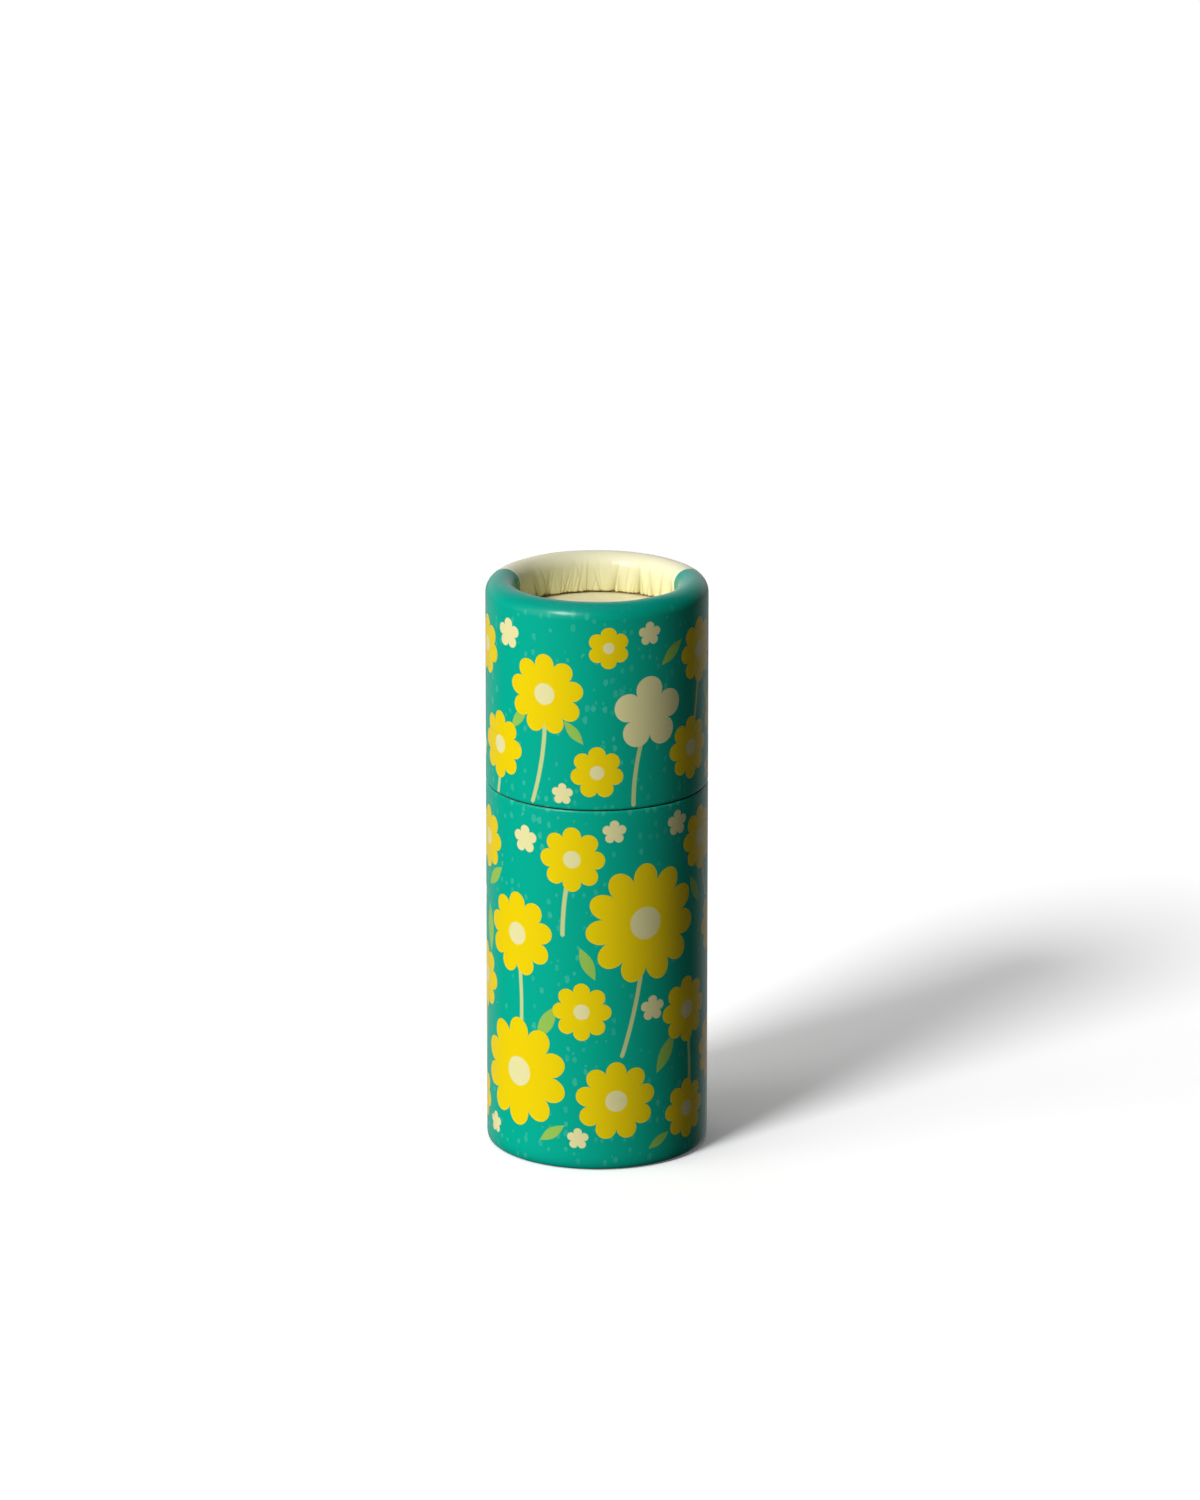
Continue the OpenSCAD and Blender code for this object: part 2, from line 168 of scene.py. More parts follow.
def lay_round(name, radius, height, sheet=None, poles=None, folds=None):
    """A closed skin round the Z axis from grids of rows along the section and columns round the tube.

    A point is (radius sin a, -radius cos a, height) at its column's angle a. The section closes on itself,
    or, with poles, on the two given heights of the axis, below and above. sheet holds each row's place on the
    flat sheet: u = arc along the wall + the row's first number, v = the row's second number. folds, a value
    for each point, is kept as the attribute "fold".
    """
    rows, columns = radius.shape
    angle = around(columns)
    points = np.stack([radius * np.sin(angle), -radius * np.cos(angle), height], axis=-1).reshape(-1, 3)
    low_rows = np.arange(rows if poles is None else rows - 1)
    i = np.repeat(low_rows, columns)
    j = np.tile(np.arange(columns), len(low_rows))
    above = (i + 1) % rows
    right = (j + 1) % columns
    faces = np.stack(
        [i * columns + j, i * columns + right, above * columns + right, above * columns + j], axis=1
    )
    corners = faces.ravel()
    sizes = np.full(len(faces), 4)
    if poles is not None:
        ends = np.array([[0, 0, poles[0]], [0, 0, poles[1]]])
        points = np.concatenate([points, ends])
        j = np.arange(columns)
        right = (j + 1) % columns
        last = (rows - 1) * columns
        below = np.stack([np.full(columns, rows * columns), right, j], axis=1)
        over = np.stack([last + j, last + right, np.full(columns, rows * columns + 1)], axis=1)
        corners = np.concatenate([corners, below.ravel(), over.ravel()])
        sizes = np.concatenate([sizes, np.full(2 * columns, 3)])
    mesh = bpy.data.meshes.new(name)
    mesh.vertices.add(len(points))
    mesh.vertices.foreach_set("co", (points * MM).astype(np.float32).ravel())
    mesh.loops.add(len(corners))
    mesh.loops.foreach_set("vertex_index", corners.astype(np.int32))
    mesh.polygons.add(len(sizes))
    mesh.polygons.foreach_set("loop_start", (np.cumsum(sizes) - sizes).astype(np.int32))
    mesh.update(calc_edges=True)
    if sheet is not None:
        step = 2 * math.pi / columns
        arc = np.stack([angle[j], angle[j] + step, angle[j] + step, angle[j]], axis=1) * TUBE_R
        row = np.stack([i, i, above, above], axis=1)
        places = np.stack([arc + sheet[row, 0], sheet[row, 1]], axis=-1)
        layer = mesh.uv_layers.new(name="sheet")
        layer.data.foreach_set("uv", places.astype(np.float32).ravel())
    if folds is not None:
        kept = mesh.attributes.new("fold", "FLOAT", "POINT")
        kept.data.foreach_set("value", folds.astype(np.float32).ravel())
    mesh.shade_smooth()
    mesh.set_sharp_from_angle(angle=math.radians(50))
    piece = bpy.data.objects.new(name, mesh)
    bpy.context.scene.collection.objects.link(piece)
    return piece


def finish_piece(piece, material, body, slot, *solids):
    """Gives the piece its finish and its body and hides the solids that it stands for; slot is not used."""
    piece.data.materials.append(material)
    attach(piece, body)
    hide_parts(*solids)


def rolled_line(run, inset, cut_z, rim_z, power):
    """Section of a sheet that goes up the wall, over the roll and down inside.

    run is the way along the outer face from the cut edge, and inset the depth under that face. Over the roll
    the angle is turn = (run - wall) / CURL, held between 0 and pi: radius = ROLL_R + out cos turn, height =
    middle of the roll + out sin turn, less what is left of the wall or gone of the leg. On the inner half
    out = CURL - inset, and on the outer half out = (CURL - inset) / (cos^power turn + sin^power turn)^(1 /
    power), which is the same for a power of 2 and a tighter corner above it.
    """
    wall = rim_z - CURL - cut_z
    turn = np.clip((run - wall) / CURL, 0, math.pi)
    outer = np.minimum(turn, math.pi / 2)
    out = (CURL - inset) / (np.cos(outer) ** power + np.sin(outer) ** power) ** (1 / power)
    straight = np.maximum(wall - run, 0) + np.maximum(run - wall - math.pi * CURL, 0)
    return ROLL_R + out * np.cos(turn), rim_z - CURL + out * np.sin(turn) - straight


def leg_share(run, wall):
    """0 up to LEG_START of the roll's half turn, then rising evenly to 1 at the leg's end."""
    start = wall + LEG_START * math.pi * CURL
    return np.clip((run - start) / (wall + math.pi * CURL + LEG_RUN - start), 0, 1)


def gathers(share, columns, seed):
    """Depth of the folds in the paper turned inside a rim, a few deep ones among many fine creases.

    Each fold is a valley along its own leaning line: depth times exp(-distance / width), steep on one side and
    easy on the other like a pleat pressed over, growing from its own start down to the leg's end. The folds
    are joined by taking the deepest one at each point.
    """
    rng = np.random.default_rng(seed)
    angle = around(columns)
    depth = np.zeros((len(share), columns))
    for count, least, most, narrow, wide in FOLD_SETS:
        for k in range(count):
            centre = (k + rng.uniform(-FOLD_JITTER, FOLD_JITTER)) * 2 * math.pi / count
            lean = rng.uniform(-FOLD_LEAN, FOLD_LEAN)
            start = rng.uniform(*FOLD_START)
            deep = rng.uniform(least, most)
            steep = rng.uniform(*FOLD_STEEP)
            easy = rng.uniform(narrow, wide)
            side = rng.choice([-1, 1])
            off = (angle - centre + math.pi) % (2 * math.pi) - math.pi
            across = off[None, :] * RIM_R - lean * share
            width = np.where(across * side > 0, steep, easy)
            grown = np.clip((share - start) / (1 - start), 0, 1) * np.clip(share / FOLD_GROWTH, 0, 1)
            depth = np.maximum(depth, deep * grown * np.exp(-np.abs(across) / width))
    least_left = 0.05
    return np.minimum(depth, WRAP + LEG_BULK * share - least_left)


def lap(columns):
    """The sheet's lap at the back: a step of LAP_STEP that eases off as (1 - s)^2 (1 + 2 s)."""
    arc = around(columns) * TUBE_R
    start = math.radians(LAP_START) * TUBE_R
    after = np.clip((arc - start) / LAP_EASE, 0, 1)
    return LAP_STEP * np.where(arc < start, 0, (1 - after) ** 2 * (1 + 2 * after))


def wavy(columns, seed, height):
    """Slow unevenness round a rim: a few sines of 2 to 11 waves a turn with falling height."""
    rng = np.random.default_rng(seed)
    waves = np.arange(2, 12)[:, None]
    phase = rng.uniform(0, 2 * math.pi, waves.shape)
    return height * (np.sin(waves * around(columns) + phase) / np.sqrt(waves)).sum(axis=0) / 2


def wrap_rows(wall):
    """Rows of a wrap: its printed face as (run, inset), eased at both cut edges, and the run of its back."""
    turn = np.linspace(0, math.pi / 2, 8)
    edge = np.stack([CUT_EASE * (1 - np.cos(turn)), CUT_DEPTH * (1 - np.sin(turn))], axis=1)
    rolled = wall + math.pi * CURL
    full = rolled + LEG_RUN
    face_run = np.concatenate([
        np.linspace(CUT_EASE, wall, 16)[1:-1],
        np.linspace(wall, rolled, 61),
        np.linspace(rolled, full - CUT_EASE, 34)[1:-1],
    ])
    face = np.stack([face_run, np.zeros(len(face_run))], axis=1)
    end = np.stack([full - edge[::-1, 0], edge[::-1, 1]], axis=1)
    back_run = np.concatenate([
        np.linspace(full, rolled, 4), np.linspace(rolled, wall, 25)[1:], [wall / 2, 0.0],
    ])
    return np.concatenate([edge, face, end]), back_run


def wrap_piece(name, cut_z, rim_z, seed, columns=640, upside_down=False):
    """The printed paper as one closed shell that follows rolled_line, gathered inside the rim.

    The inset of its face is the eased edge + the folds + a slow unevenness of the cap's roll, less the lap,
    which is pressed flat over the roll. Its cut face at the seam takes the place of the print beside it on the
    flat sheet. Upside down it is the base's, with the foot pressed flat.
    """
    wall = rim_z - CURL - cut_z
    face, back_run = wrap_rows(wall)
    flat_run = np.concatenate([face[:, 0], back_run])
    run = flat_run[:, None]
    eased = np.concatenate([face[:, 1], np.zeros(len(back_run))])[:, None]
    hidden = np.arange(len(flat_run)) >= len(face)
    share = leg_share(run, wall)
    folds = gathers(share, columns, seed)
    waves = DRAWN_IN_WAVES * np.abs(wavy(columns, seed + 1, 1))
    drawn = DRAWN_UP + DRAWN_BY_FOLD * folds[len(face) - 1] + waves
    run = run - drawn * share ** 2
    turn = np.clip((run - wall) / CURL, 0, math.pi)
    pressed_flat_at = 1.6
    lap_left = np.clip(1 - turn / pressed_flat_at, 0, 1)
    uneven_roll = 0 if upside_down else 0.035
    uneven = wavy(columns, seed + 2, uneven_roll) * np.sin(turn)
    face_inset = eased + folds - lap_left * lap(columns) + uneven
    inset = np.where(hidden[:, None], WRAP + LEG_BULK * leg_share(run, wall), face_inset)
    radius, height = rolled_line(run, inset, cut_z, rim_z, FOOT_CORNER if upside_down else ROUND)
    away = np.where(hidden, OFF_SHEET, 0)
    away[-1] = 0
    if upside_down:
        height = np.maximum(-height - FOOT_PRESS, 0)
        sheet = np.stack([away, BASE_EDGE - flat_run], axis=1)[::-1]
        return lay_round(name, radius[::-1], height[::-1], sheet, folds=folds[::-1])
    return lay_round(name, radius, height, np.stack([away, CAP_EDGE + flat_run], axis=1), folds=folds)


def spiral_seam(height, columns, lead, depth):
    """Groove of a spiral-wound tube: depth exp(-(d / width)^2), d along the axis to the nearest turn."""
    width = 0.14
    phase = height / lead - around(columns) / (2 * math.pi)
    return depth * np.exp(-(((phase - np.round(phase)) * lead / width) ** 2))


def board_piece(name, cut_z, rim_z, upside_down=False):
    """Rolled board that follows rolled_line: outer face just under the wrap, bore with a spiral seam.

    Across its cut edge the plies stand out as ply_depth |cos|^6, two waves across the thickness.
    """
    columns, gap, edge_run = 256, 0.01, 0.05
    ply_depth = 0.045
    seam_lead, seam_depth = 41.0, 0.05
    wall = rim_z - CURL - cut_z
    full = wall + math.pi * CURL + LEG_RUN
    across = np.linspace(0, 1, 33)
    plies = ply_depth * np.abs(np.cos(across * 4 * math.pi)) ** 6
    out_run = np.concatenate([[edge_run, wall * 0.5], np.linspace(wall, full, 61)])
    in_run = np.concatenate([np.linspace(full, wall, 61), np.linspace(wall, edge_run, 120)[1:]])
    runs = np.concatenate([out_run, in_run, plies[1:-1]])[:, None]
    inner = np.concatenate([np.zeros(len(out_run)), np.ones(len(in_run)), 1 - across[1:-1]])[:, None]
    bulk = LEG_BULK * leg_share(runs, wall)
    inset = WRAP + gap + bulk * (1 - inner) + (BOARD - gap) * inner
    power = FOOT_CORNER if upside_down else ROUND
    radius, height = rolled_line(np.repeat(runs, columns, axis=1), inset, cut_z, rim_z, power)
    on_wall = (inner == 1) & (runs < wall - 1)
    radius = radius + np.where(on_wall, spiral_seam(height, columns, seam_lead, seam_depth), 0)
    if upside_down:
        return lay_round(name, radius[::-1], -height[::-1] - FOOT_PRESS)
    return lay_round(name, radius, height)


def rounded_section(corners, rounding, spacing, closed=True):
    """Rows along a right-angled section, as radius and height.

    Each corner is a quarter ring of radius r from its number in rounding: P = corner + r (1 - sin) back +
    r (1 - cos) on, with back and on the directions to its neighbours. An open section keeps its two ends.
    """
    corners = np.array(corners, float)
    count = len(corners)
    turn = np.linspace(0, math.pi / 2, 6)[:, None]
    rows = []
    for k, corner in enumerate(corners):
        if not closed and k in (0, count - 1):
            rows.append(corner[None, :])
            continue
        back = corners[k - 1] - corner
        on = corners[(k + 1) % count] - corner
        back = back / np.linalg.norm(back)
        on = on / np.linalg.norm(on)
        rows.append(corner + rounding[k] * ((1 - np.sin(turn)) * back + (1 - np.cos(turn)) * on))
    filled = []
    for k, stretch in enumerate(rows):
        filled.append(stretch)
        if closed or k < count - 1:
            a, b = stretch[-1], rows[(k + 1) % count][0]
            steps = max(int(np.linalg.norm(b - a) / spacing), 1)
            filled.append(a + (b - a) * (np.arange(1, steps) / steps)[:, None])
    section = np.concatenate(filled)
    return section[:, 0], section[:, 1]


def turned_grid(section, columns):
    """The section's radius and height, repeated for every column."""
    return [np.repeat(row[:, None], columns, axis=1) for row in section]


def neck_piece():
    """Spiral-wound neck: a plain ring with a softened mouth, a groove along its seam and plies in its mouth."""
    columns = 256
    seam_lead, seam_depth = 34.0, 0.06
    ply_depth, mouth_wave, mouth_run = 0.03, 0.01, 1.0
    section = rounded_section(
        [(LINER_R, RIM_DEPTH), (NECK_R, RIM_DEPTH), (NECK_R, NECK_TOP), (LINER_R, NECK_TOP)],
        [0.1, 0.1, 0.3, 0.06], spacing=0.35,
    )
    outside = (section[0] > NECK_R - 0.01)[:, None]
    radius, height = turned_grid(section, columns)
    radius = radius - np.where(outside, spiral_seam(height, columns, seam_lead, seam_depth), 0)
    mouth = np.clip(height - NECK_TOP + mouth_run, 0, 1)
    ply = ply_depth * np.abs(np.sin((radius - LINER_R) * 3 * math.pi)) * (height > NECK_TOP - 0.02)
    return lay_round("neck", radius, height - ply + mouth * wavy(columns, 31, mouth_wave))


def liner_piece():
    """Greaseproof lining: a thin ring just inside the neck, with its own overlap seam along a spiral."""
    columns, gap, mouth_drop = 200, 0.005, 0.05
    seam_lead, seam_depth = 29.0, 0.02
    inner, outer = LINER_R - LINER, LINER_R - gap
    mouth = NECK_TOP - mouth_drop
    section = rounded_section(
        [(inner, RIM_DEPTH), (outer, RIM_DEPTH), (outer, mouth), (inner, mouth)], [0.03] * 4, spacing=0.5
    )
    inside = (section[0] < inner + 0.01)[:, None]
    radius, height = turned_grid(section, columns)
    radius = radius + np.where(inside, spiral_seam(height, columns, seam_lead, seam_depth), 0)
    return lay_round("greaseproof_lining", radius, height)


def cup_piece(name, outer, low, high, seed, pleats):
    """A pressed paper disc with a pleated skirt.

    The skirt's pleats are a wave round the rim, pleat_depth |sin|^3, growing from the corner down. The flat is
    sunk and raised by hundredths where the paper cockles.
    """
    columns, middle = 512, 0.6
    pleat_depth, cockle_height, sunk = 0.09, 0.02, 0.02
    inner = outer - DISC_PAPER
    section = rounded_section(
        [
            (middle, high - DISC_PAPER), (inner, high - DISC_PAPER), (inner, low),
            (outer, low), (outer, high), (middle, high),
        ],
        [0, 0.3, 0.12, 0.12, 0.4, 0], spacing=0.45, closed=False,
    )
    skirt = (section[0] > inner - 0.35)[:, None]
    radius, height = turned_grid(section, columns)
    angle = around(columns)
    drop = np.clip((high - height) / (high - low), 0, 1)
    wave = np.abs(np.sin(angle * pleats / 2 + 0.7 * np.sin(3 * angle))) ** 3
    radius = radius - np.where(skirt, pleat_depth * wave * drop ** 0.8, 0)
    cockle = (radius / outer) ** 2 * wavy(columns, seed, cockle_height) * (radius < outer - 0.5)
    return lay_round(name, radius, height + cockle - sunk, poles=(high - DISC_PAPER - sunk, high - sunk))


def facing_piece():
    """Greaseproof facing between push disc and stick: a flat round with eased edges."""
    middle = 0.6
    section = rounded_section(
        [(middle, FACING_LOW), (FACING_R, FACING_LOW), (FACING_R, FACING_TOP), (middle, FACING_TOP)],
        [0, 0.04, 0.04, 0], spacing=1.0, closed=False,
    )
    return lay_round("facing", *turned_grid(section, 160), poles=(FACING_LOW, FACING_TOP))


def balm_piece():
    """The poured stick.

    Its top sinks by dip (1 - (r / R)^2)^1.5 in the middle, carries soft cooling rings, and climbs the lining
    a little at the edge; its foot is flat on the facing.
    """
    columns, middle = 320, 0.3
    dip, climb, ring_height, rings, pull_height = 0.55, 0.06, 0.015, 21, 0.05
    side = BALM_R - 0.02
    section = rounded_section(
        [(middle, BALM_LOW), (side, BALM_LOW), (side, BALM_TOP), (middle, BALM_TOP)],
        [0, 0.2, 0.12, 0], spacing=0.3, closed=False,
    )
    top = (section[1] > BALM_TOP - 0.2)[:, None]
    radius, height = turned_grid(section, columns)
    share = radius / side
    sink = dip * (1 - share ** 2) ** 1.5 + ring_height * np.cos(share * rings) * (1 - share)
    pull = share ** 2 * wavy(columns, 41, pull_height)
    height = height - np.where(top, sink + climb + pull - climb * share ** 12, 0)
    return lay_round("balm_stick", radius, height, poles=(BALM_LOW, BALM_TOP - dip - climb - ring_height))


# Node tools


def plug(tree, socket, value):
    """Links a socket, or sets its value."""
    if isinstance(value, bpy.types.NodeSocket):
        tree.links.new(value, socket)
    else:
        socket.default_value = value


def node(tree, kind, inputs=None, **settings):
    """A node with its settings and its inputs, each by name or number."""
    made = tree.nodes.new(kind)
    for key, value in settings.items():
        setattr(made, key, value)
    for key, value in (inputs or {}).items():
        plug(tree, made.inputs[key], value)
    return made


def maths(tree, operation, *values):
    """A sum, product or the like of the values."""
    return node(tree, "ShaderNodeMath", dict(enumerate(values)), operation=operation).outputs[0]


def vectors(tree, operation, *values):
    """A vector sum, product or the like of the values; for a length, ask the node itself."""
    return node(tree, "ShaderNodeVectorMath", dict(enumerate(values)), operation=operation).outputs[0]


def parts_of(tree, vector):
    """The three numbers of a vector."""
    return node(tree, "ShaderNodeSeparateXYZ", {0: vector}).outputs


def rise(tree, value, start, full, kind="LINEAR"):
    """0 where the value is at start, 1 where it is at full, held beyond them."""
    return node(tree, "ShaderNodeMapRange", {0: value, 1: start, 2: full}, interpolation_type=kind).outputs[0]


def soft_step(tree, value, half=0.03):
    """0 below -half, 1 above half, eased between: an ink edge of real sharpness."""
    return rise(tree, value, -half, half, "SMOOTHSTEP")


def paint(tree, mask, under, over):
    """The colour over on the colour under, where the mask is 1."""
    made = node(tree, "ShaderNodeMix", data_type="RGBA")
    plug(tree, made.inputs[0], mask)
    plug(tree, made.inputs[6], under)
    plug(tree, made.inputs[7], over)
    return made.outputs[2]


def new_group(name, inputs, outputs):
    """A shader group with the named sockets; returns it with its input and output nodes."""
    group = bpy.data.node_groups.new(name, "ShaderNodeTree")
    for label, kind in inputs:
        group.interface.new_socket(label, in_out="INPUT", socket_type=kind)
    for label, kind in outputs:
        group.interface.new_socket(label, in_out="OUTPUT", socket_type=kind)
    return group, group.nodes.new("NodeGroupInput").outputs, group.nodes.new("NodeGroupOutput").inputs


def use(tree, group, **inputs):
    """Places a group with its values."""
    made = tree.nodes.new("ShaderNodeGroup")
    made.node_tree = group
    for key, value in inputs.items():
        plug(tree, made.inputs[key], value)
    return made.outputs


FLOAT, VECTOR = "NodeSocketFloat", "NodeSocketVector"


def blossom_group():
    """Scalloped round: edge = radius (1 - depth + depth |cos(petals a / 2)|^0.55) at angle a, and its heart."""
    group, given, put = new_group(
        "scalloped blossom",
        [
            ("Place", VECTOR), ("Centre", VECTOR), ("Radius", FLOAT), ("Petals", FLOAT), ("Depth", FLOAT),
            ("Heart", FLOAT),
        ],
        [("Inside", FLOAT), ("Heart", FLOAT)],
    )
    lobe_power = 0.55
    away = vectors(group, "SUBTRACT", given["Place"], given["Centre"])
    split = parts_of(group, away)
    distance = node(group, "ShaderNodeVectorMath", {0: away}, operation="LENGTH").outputs["Value"]
    angle = maths(group, "ARCTAN2", split[0], split[1])
    half_turns = maths(group, "MULTIPLY", maths(group, "MULTIPLY", angle, given["Petals"]), 0.5)
    lobe = maths(group, "POWER", maths(group, "ABSOLUTE", maths(group, "COSINE", half_turns)), lobe_power)
    share = maths(group, "MULTIPLY_ADD", given["Depth"], maths(group, "SUBTRACT", lobe, 1.0), 1.0)
    edge = maths(group, "MULTIPLY", given["Radius"], share)
    plug(group, put["Inside"], soft_step(group, maths(group, "SUBTRACT", edge, distance)))
    heart = maths(group, "MULTIPLY", given["Radius"], given["Heart"])
    plug(group, put["Heart"], soft_step(group, maths(group, "SUBTRACT", heart, distance)))
    return group


def leaf_group():
    """Lens-shaped leaf: half width = 0.17 length sin(pi s), s the share of the way along it."""
    group, given, put = new_group(
        "lens leaf",
        [("Place", VECTOR), ("Centre", VECTOR), ("Length", FLOAT), ("Turn", FLOAT)],
        [("Inside", FLOAT)],
    )
    half_share, trim = 0.17, 0.02
    away = vectors(group, "SUBTRACT", given["Place"], given["Centre"])
    back = maths(group, "MULTIPLY", given["Turn"], -1.0)
    turned = node(group, "ShaderNodeVectorRotate", {"Vector": away, "Angle": back}, rotation_type="Z_AXIS")
    split = parts_of(group, turned.outputs[0])
    along = maths(group, "ADD", maths(group, "DIVIDE", split[0], given["Length"]), 0.5)
    held = node(group, "ShaderNodeClamp", {0: along}).outputs[0]
    wave = maths(group, "SINE", maths(group, "MULTIPLY", held, math.pi))
    half = maths(group, "MULTIPLY", maths(group, "MULTIPLY", given["Length"], half_share), wave)
    past = maths(group, "ABSOLUTE", maths(group, "SUBTRACT", along, held))
    past = maths(group, "MULTIPLY", past, given["Length"])
    left = maths(group, "SUBTRACT", maths(group, "SUBTRACT", half, maths(group, "ABSOLUTE", split[1])), past)
    plug(group, put["Inside"], soft_step(group, maths(group, "SUBTRACT", left, trim)))
    return group


def stem_group():
    """Stem of width STEM_W on the line x = foot + s (head - foot) + 4 sag s (1 - s), s the share risen."""
    group, given, put = new_group(
        "sagging stem",
        [("Place", VECTOR), ("Foot", VECTOR), ("Head", VECTOR), ("Sag", FLOAT)],
        [("Inside", FLOAT)],
    )
    place = parts_of(group, given["Place"])
    foot = parts_of(group, given["Foot"])
    head = parts_of(group, given["Head"])
    height = maths(group, "SUBTRACT", head[1], foot[1])
    free = maths(group, "DIVIDE", maths(group, "SUBTRACT", place[1], foot[1]), height)
    share = node(group, "ShaderNodeClamp", {0: free}).outputs[0]
    past = maths(group, "MULTIPLY", maths(group, "ABSOLUTE", maths(group, "SUBTRACT", free, share)), height)
    line = maths(group, "MULTIPLY_ADD", maths(group, "SUBTRACT", head[0], foot[0]), share, foot[0])
    bow = maths(group, "MULTIPLY", share, maths(group, "SUBTRACT", 1.0, share))
    line = maths(group, "MULTIPLY_ADD", given["Sag"], maths(group, "MULTIPLY", bow, 4.0), line)
    off = maths(group, "ABSOLUTE", maths(group, "SUBTRACT", place[0], line))
    left = maths(group, "SUBTRACT", maths(group, "SUBTRACT", STEM_W / 2, off), past)
    plug(group, put["Inside"], soft_step(group, left))
    return group


def dab_group():
    """Small upright dabs of paint: rounds in the cells of a random net, present in some cells only.

    A slow noise decides where they crowd, and each cell's own chance numbers its size and strength.
    """
    group, given, put = new_group("paint dabs", [("Place", VECTOR), ("Thick", FLOAT)], [("Dabs", FLOAT)])
    cells_per_mm = (0.95, 0.66, 1.0)
    drift_scale, rough_scale = 0.13, 3.0
    crowding, needed = 0.9, 1.02
    least_size, more_size, soft_edge = 0.06, 0.24, 0.09
    least_strength, more_strength = 0.4, 0.6
    netted = vectors(group, "MULTIPLY", given["Place"], cells_per_mm)
    cells = node(
        group, "ShaderNodeTexVoronoi", {"Vector": netted, "Scale": 1.0, "Randomness": 1.0},
        voronoi_dimensions="2D",
    )
    chance = node(group, "ShaderNodeSeparateColor", {0: cells.outputs["Color"]}).outputs
    drift = node(
        group, "ShaderNodeTexNoise", {"Vector": given["Place"], "Scale": drift_scale, "Detail": 1.0},
        noise_dimensions="2D",
    )
    crowd = maths(group, "ADD", chance[0], maths(group, "MULTIPLY", drift.outputs[0], crowding))
    present = maths(group, "GREATER_THAN", crowd, needed)
    size = maths(group, "MULTIPLY_ADD", chance[1], more_size, least_size)
    rough = node(
        group, "ShaderNodeTexNoise", {"Vector": given["Place"], "Scale": rough_scale, "Detail": 2.0},
        noise_dimensions="2D",
    )
    size = maths(group, "MULTIPLY", size, maths(group, "ADD", rough.outputs[0], 0.5))
    shape = soft_step(group, maths(group, "SUBTRACT", size, cells.outputs["Distance"]), soft_edge)
    strength = maths(group, "MULTIPLY_ADD", chance[2], more_strength, least_strength)
    strength = maths(group, "MULTIPLY", given["Thick"], strength)
    plug(group, put["Dabs"], maths(group, "MULTIPLY", maths(group, "MULTIPLY", shape, present), strength))
    return group


def backdrop_group():
    """Light of a backdrop behind: none for a ray that goes back by less than Start, full from Full on."""
    group, given, put = new_group(
        "backdrop behind", [("Way", VECTOR), ("Start", FLOAT), ("Full", FLOAT)], [("Light", FLOAT)]
    )
    back = parts_of(group, given["Way"])[1]
    plug(group, put["Light"], rise(group, back, given["Start"], given["Full"], "SMOOTHSTEP"))
    return group


def fibre_group():
    """Paper and board surface: fine cloudy tone and felted fibres drawn out along one direction."""
    group, given, put = new_group(
        "felted fibres",
        [("Place", VECTOR), ("Stretch", VECTOR), ("Scale", FLOAT)],
        [("Tone", FLOAT), ("Fibres", FLOAT)],
    )
    drawn = vectors(group, "MULTIPLY", given["Place"], given["Stretch"])
    fibres = node(
        group, "ShaderNodeTexNoise",
        {"Vector": drawn, "Scale": given["Scale"], "Detail": 6.0, "Roughness": 0.65},
    ).outputs[0]
    cloud = node(group, "ShaderNodeTexNoise", {"Vector": given["Place"], "Scale": 260.0, "Detail": 3.0})
    plug(group, put["Fibres"], fibres)
    half_cloud = maths(group, "MULTIPLY", cloud.outputs[0], 0.5)
    plug(group, put["Tone"], maths(group, "MULTIPLY_ADD", fibres, 0.5, half_cloud))
    return group


BLOSSOM = blossom_group()
LEAF = leaf_group()
STEM = stem_group()
DABS = dab_group()
BACKDROP = backdrop_group()
FIBRES = fibre_group()


# Materials


def srgb(*levels):
    """A colour seen as these 8-bit display levels, as a linear RGBA value."""
    share = np.array(levels) / 255
    linear = np.where(share <= 0.04045, share / 12.92, ((share + 0.055) / 1.055) ** 2.4)
    return (*[float(x) for x in linear], 1.0)


TEAL = srgb(0, 180, 152)
# Teal painted deeper over the roll: painted shade
TEAL_PAINTED_SHADE = srgb(0, 158, 138)
DAB = srgb(74, 198, 170)
YELLOW = srgb(250, 219, 4)
CREAM = srgb(243, 236, 172)
LIME = srgb(156, 205, 88)
STALK = srgb(205, 222, 150)
BARE_HIGH = srgb(252, 247, 216)
# Bare paper painted darker as shade inside the rim; also the fibres' darker tone
BARE_PAINTED_SHADE_AND_FIBRE = srgb(248, 240, 182)
# Painted shade in the folds of the gathered paper
BARE_FOLD_PAINTED_SHADE = srgb(180, 164, 84)
KRAFT = srgb(188, 152, 108)
KRAFT_DARK = srgb(150, 114, 74)
# Painted shade on the board's cut ends inside the seam's gap
BOARD_CUT_PAINTED_SHADE = srgb(92, 72, 50)
GREASEPROOF = srgb(236, 232, 216)
GREASEPROOF_DARK = srgb(226, 221, 202)
DISC_CREAM = srgb(250, 243, 206)
DISC_DARK = srgb(242, 233, 192)
WAX = srgb(246, 232, 176)
WAX_DEEP = srgb(236, 212, 140)


def new_material(name, roughness, specular):
    """A material with its tree and its shader."""
    material = bpy.data.materials.new(name)
    material.use_nodes = True
    tree = material.node_tree
    shader = tree.nodes["Principled BSDF"]
    shader.inputs["Roughness"].default_value = roughness
    shader.inputs["Specular IOR Level"].default_value = specular
    return material, tree, shader


def bump(tree, shader, height, depth, strength=1.0):
    """Fine relief, in metres."""
    made = node(tree, "ShaderNodeBump", {"Height": height, "Distance": depth, "Strength": strength})
    plug(tree, shader.inputs["Normal"], made.outputs[0])


def joined(tree, masks):
    """The greatest of several masks."""
    whole = masks[0]
    for mask in masks[1:]:
        whole = maths(tree, "MAXIMUM", whole, mask)
    return whole


